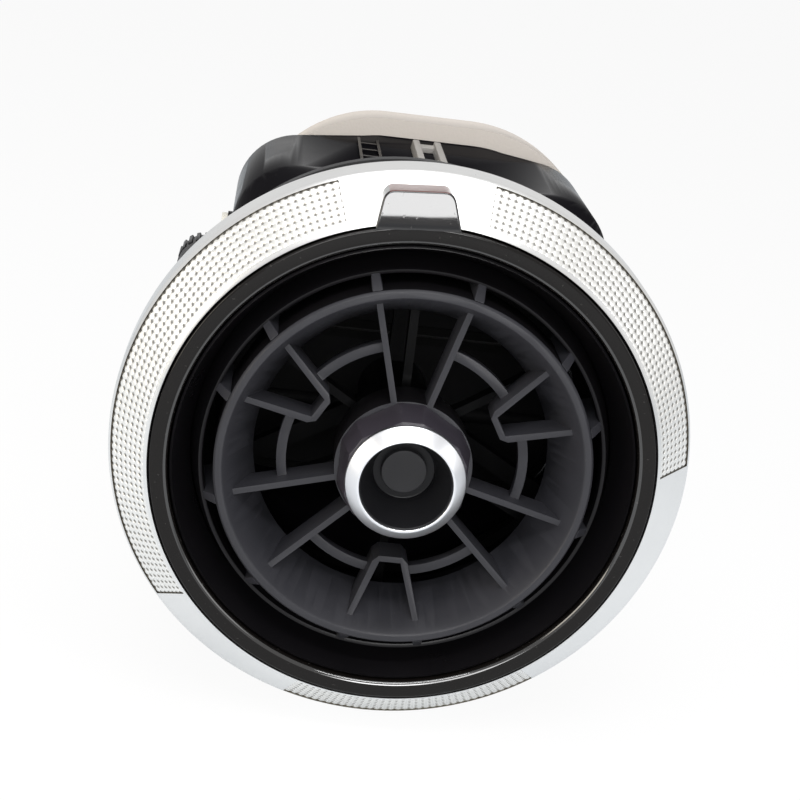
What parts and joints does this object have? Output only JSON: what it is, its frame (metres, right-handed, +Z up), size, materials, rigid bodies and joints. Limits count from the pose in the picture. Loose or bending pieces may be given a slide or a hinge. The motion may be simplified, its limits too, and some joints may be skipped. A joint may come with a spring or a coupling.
{
  "type": "dashboard air vent",
  "caption": "Round dashboard air vent with a knurled turning ring, grip tab, tilting spoked nozzle, push-in centre knob, linked shut-off flaps and a flared duct.",
  "frame": {"origin": "on the turning axis, in the plane of the ring's rim", "axes": "+Y along the turning axis into the dash, +Z up, +X to the right as the driver sees the vent"},
  "size_m": [0.104, 0.1082, 0.104],
  "materials": {
    "satin_silver": "satin metal finish with a fine knurl",
    "gloss_black": "piano black gloss",
    "housing_black": "moulded, fine grain",
    "duct_black": "moulded, half gloss",
    "vane_grey": "moulded, soft satin",
    "nozzle_black": "moulded, satin",
    "collar_black": "moulded, satin",
    "bright_chrome": "bright plated",
    "knob_grey": "satin paint",
    "foam_beige": "open-cell foam strip",
    "flap_black": "moulded",
    "seal_black": "soft moulded lip",
    "rail_grey": "moulded, natural",
    "gear_white": "acetal, natural",
    "spring_steel": "rolled sheet",
    "screw_steel": "black zinc"
  },
  "bodies": {
    "housing": {"outer_sleeve": "housing_black", "socket_ring": "housing_black", "inner_barrel": "housing_black", "pivot_fork": "housing_black", "rear_duct": "duct_black", "duct_foam": "foam_beige", "top_rails": "rail_grey", "panel_clips": "spring_steel", "housing_screws": "screw_steel", "flap_bushes": "gear_white", "damper_body": "housing_black"},
    "ring": {"knurled_ring": "satin_silver", "bezel_ring": "gloss_black", "drive_ring": "housing_black"},
    "slide": {"cam_slide": "gear_white", "follower_pin": "screw_steel"},
    "flap_low": {"lower_flap": "flap_black", "lower_flap_seal": "seal_black", "lower_flap_gear": "gear_white"},
    "flap_high": {"upper_flap": "flap_black", "upper_flap_seal": "seal_black", "upper_flap_gear": "gear_white"},
    "damper": {"damper_gear": "housing_black"},
    "cross": {"cardan_cross": "gear_white"},
    "nozzle": {"nozzle_shell": "nozzle_black", "nozzle_guide": "nozzle_black"},
    "insert": {"vane_wheel": "vane_grey", "hub_collar": "collar_black", "knob_cup": "nozzle_black", "knob_trim_ring": "bright_chrome", "knob_disc": "knob_grey"}
  },
  "joints": [
    {"name": "ring_turn", "type": "hinge", "parent": "housing", "child": "ring", "pos_m": [0, 0, 0], "axis": [0, 1, 0], "range_deg": [0, 60]},
    {"name": "slide_stroke", "type": "slide", "parent": "housing", "child": "slide", "axis": [0, 1, 0], "range_m": [0, 0.01005]},
    {"name": "lower_flap_turn", "type": "hinge", "parent": "housing", "child": "flap_low", "pos_m": [0, 0.062, -0.01312], "axis": [-1, 0, 0], "range_deg": [0, 90]},
    {"name": "upper_flap_turn", "type": "hinge", "parent": "housing", "child": "flap_high", "pos_m": [0, 0.062, 0.02063], "axis": [1, 0, 0], "range_deg": [0, 90]},
    {"name": "damper_spin", "type": "hinge", "parent": "housing", "child": "damper", "pos_m": [-0.03871, 0, 0.0271], "axis": [0, -1, 0], "range_deg": [0, 537]},
    {"name": "nozzle_yaw", "type": "hinge", "parent": "housing", "child": "cross", "pos_m": [0, 0.008, 0], "axis": [0, 0, 1], "range_deg": [-15, 15]},
    {"name": "nozzle_pitch", "type": "hinge", "parent": "cross", "child": "nozzle", "pos_m": [0, 0.008, 0], "axis": [1, 0, 0], "range_deg": [-15, 15]},
    {"name": "insert_push", "type": "slide", "parent": "nozzle", "child": "insert", "axis": [0, 1, 0], "range_m": [0, 0.005]}
  ],
  "couplings": [
    {"joint": "slide_stroke", "follows": "ring_turn", "m_per_rad": 0.0096},
    {"joint": "lower_flap_turn", "follows": "ring_turn", "ratio": 1.5},
    {"joint": "upper_flap_turn", "follows": "ring_turn", "ratio": 1.5},
    {"joint": "damper_spin", "follows": "ring_turn", "ratio": 8.9474}
  ]
}
